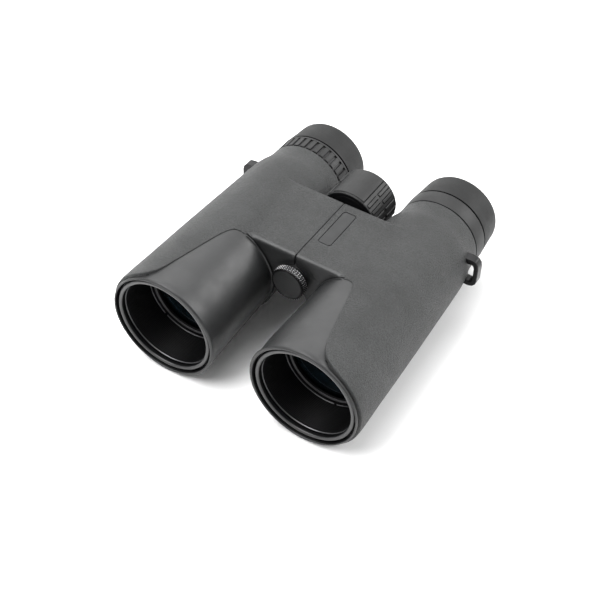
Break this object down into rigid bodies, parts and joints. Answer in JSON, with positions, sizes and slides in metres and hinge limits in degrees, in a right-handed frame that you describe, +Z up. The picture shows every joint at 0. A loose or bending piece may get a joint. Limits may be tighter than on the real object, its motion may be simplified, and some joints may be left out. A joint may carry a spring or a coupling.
{
  "type": "binoculars",
  "caption": "Roof-prism binoculars with two rubber-armoured barrels on a folding closed bridge, a central focus wheel, twist-up eyecups and a dioptre ring.",
  "frame": {"origin": "centre of the overall box, on the plane that the lowest points of the barrels touch", "axes": "+Y runs along the optical axes from the objective rims at -Y to the eyecups at +Y, +Z is up through the bridge cover, and the user's left barrel is at +X"},
  "size_m": [0.1298, 0.1432, 0.0556],
  "materials": {
    "armour_rubber": "matt, fine leather grain with a smooth satin finger hollow",
    "body_plastic": "satin",
    "lug_gloss": "gloss",
    "bezel_black": "satin black anodised",
    "inner_black": "matt anti-reflection black",
    "lens_glass": "coated",
    "alloy_black": "matt black anodised",
    "guide_plastic": "satin",
    "ring_rubber": "matt",
    "click_ring_nylon": "natural nylon",
    "eyecup_rubber": "soft matt",
    "plate_satin": "satin",
    "hinge_steel": "turned",
    "socket_brass": "turned",
    "washer_black": "matt",
    "cap_black": "satin, knurled edge",
    "wheel_plastic": "satin",
    "wheel_rubber": "matt"
  },
  "bodies": {
    "left_half": {"barrel_left": "body_plastic", "armour_left": "armour_rubber", "strap_lug_left": "lug_gloss", "objective_bezel_left": "bezel_black", "objective_sleeve_left": "inner_black", "retaining_ring_left": "bezel_black", "objective_cell_left": "inner_black", "objective_crown_left": "lens_glass", "objective_flint_left": "lens_glass", "prism_cage_left": "inner_black", "schmidt_prism_left": "lens_glass", "roof_prism_left": "lens_glass", "ocular_tube_left": "guide_plastic", "ocular_cell_left": "inner_black", "field_stop_left": "inner_black", "field_lens_left": "lens_glass", "eye_lens_left": "lens_glass", "collar_left": "ring_rubber", "name_plate": "plate_satin", "hinge_shaft_front": "hinge_steel", "hinge_shaft_rear": "hinge_steel", "hinge_tube": "hinge_steel", "tripod_socket": "socket_brass"},
    "right_half": {"barrel_right": "body_plastic", "armour_right": "armour_rubber", "strap_lug_right": "lug_gloss", "objective_bezel_right": "bezel_black", "objective_sleeve_right": "inner_black", "retaining_ring_right": "bezel_black", "objective_cell_right": "inner_black", "objective_crown_right": "lens_glass", "objective_flint_right": "lens_glass", "prism_cage_right": "inner_black", "schmidt_prism_right": "lens_glass", "roof_prism_right": "lens_glass", "ocular_tube_right": "guide_plastic"},
    "focus_wheel": {"wheel_hub": "wheel_plastic", "wheel_grip": "wheel_rubber", "wheel_end_cap": "wheel_plastic", "focus_spindle": "hinge_steel"},
    "focus_carriage": {"focus_carriage": "socket_brass"},
    "focus_group_left": {"focus_cell_left": "alloy_black", "focus_lens_left": "lens_glass"},
    "focus_group_right": {"focus_cell_right": "alloy_black", "focus_lens_right": "lens_glass"},
    "dioptre_ring": {"dioptre_ring": "ring_rubber"},
    "ocular_group_right": {"ocular_cell_right": "inner_black", "field_stop_right": "inner_black", "field_lens_right": "lens_glass", "eye_lens_right": "lens_glass"},
    "click_ring_left": {"click_ring_left": "click_ring_nylon"},
    "eyecup_left": {"eyecup_sleeve_left": "guide_plastic", "eyecup_rubber_left": "eyecup_rubber"},
    "click_ring_right": {"click_ring_right": "click_ring_nylon"},
    "eyecup_right": {"eyecup_sleeve_right": "guide_plastic", "eyecup_rubber_right": "eyecup_rubber"},
    "cap_washer": {"cap_washer": "washer_black"},
    "tripod_cap": {"tripod_cap": "cap_black"}
  },
  "joints": [
    {"name": "bridge_fold", "type": "hinge", "parent": "left_half", "child": "right_half", "pos_m": [0, 0, 0.038], "axis": [0, -1, 0], "range_deg": [0, 52]},
    {"name": "focus_turn", "type": "hinge", "parent": "left_half", "child": "focus_wheel", "pos_m": [0, 0, 0.038], "axis": [0, 1, 0], "range_deg": [-270, 270]},
    {"name": "carriage_slide", "type": "slide", "parent": "left_half", "child": "focus_carriage", "axis": [0, 1, 0], "range_m": [-0.003, 0.003]},
    {"name": "focus_slide_left", "type": "slide", "parent": "left_half", "child": "focus_group_left", "axis": [0, 1, 0], "range_m": [-0.003, 0.003]},
    {"name": "focus_slide_right", "type": "slide", "parent": "right_half", "child": "focus_group_right", "axis": [0, 1, 0], "range_m": [-0.003, 0.003]},
    {"name": "dioptre_turn", "type": "hinge", "parent": "right_half", "child": "dioptre_ring", "pos_m": [-0.037, 0.052, 0.0278], "axis": [0, 1, 0], "range_deg": [-40, 40]},
    {"name": "dioptre_slide", "type": "slide", "parent": "right_half", "child": "ocular_group_right", "axis": [0, 1, 0], "range_m": [-0.0007, 0.0007]},
    {"name": "eyecup_lift_left", "type": "slide", "parent": "left_half", "child": "click_ring_left", "axis": [0, 1, 0], "range_m": [0, 0.008]},
    {"name": "eyecup_twist_left", "type": "hinge", "parent": "click_ring_left", "child": "eyecup_left", "pos_m": [0.037, 0.064, 0.0278], "axis": [0, 1, 0], "range_deg": [0, 100]},
    {"name": "eyecup_lift_right", "type": "slide", "parent": "right_half", "child": "click_ring_right", "axis": [0, 1, 0], "range_m": [0, 0.008]},
    {"name": "eyecup_twist_right", "type": "hinge", "parent": "click_ring_right", "child": "eyecup_right", "pos_m": [-0.037, 0.064, 0.0278], "axis": [0, 1, 0], "range_deg": [0, 100]},
    {"name": "cap_travel", "type": "slide", "parent": "left_half", "child": "cap_washer", "axis": [0, -1, 0], "range_m": [0, 0.008]},
    {"name": "cap_unscrew", "type": "hinge", "parent": "cap_washer", "child": "tripod_cap", "pos_m": [0, -0.026, 0.038], "axis": [0, -1, 0], "range_deg": [0, 2268]}
  ],
  "couplings": [
    {"joint": "focus_turn", "follows": "carriage_slide", "rad_per_m": 1570.7},
    {"joint": "focus_slide_left", "follows": "carriage_slide", "ratio": 1},
    {"joint": "focus_slide_right", "follows": "carriage_slide", "ratio": 1},
    {"joint": "dioptre_turn", "follows": "dioptre_slide", "rad_per_m": 1000},
    {"joint": "eyecup_twist_left", "follows": "eyecup_lift_left", "rad_per_m": 218.1},
    {"joint": "eyecup_twist_right", "follows": "eyecup_lift_right", "rad_per_m": 218.1},
    {"joint": "cap_unscrew", "follows": "cap_travel", "rad_per_m": 4947.4}
  ]
}
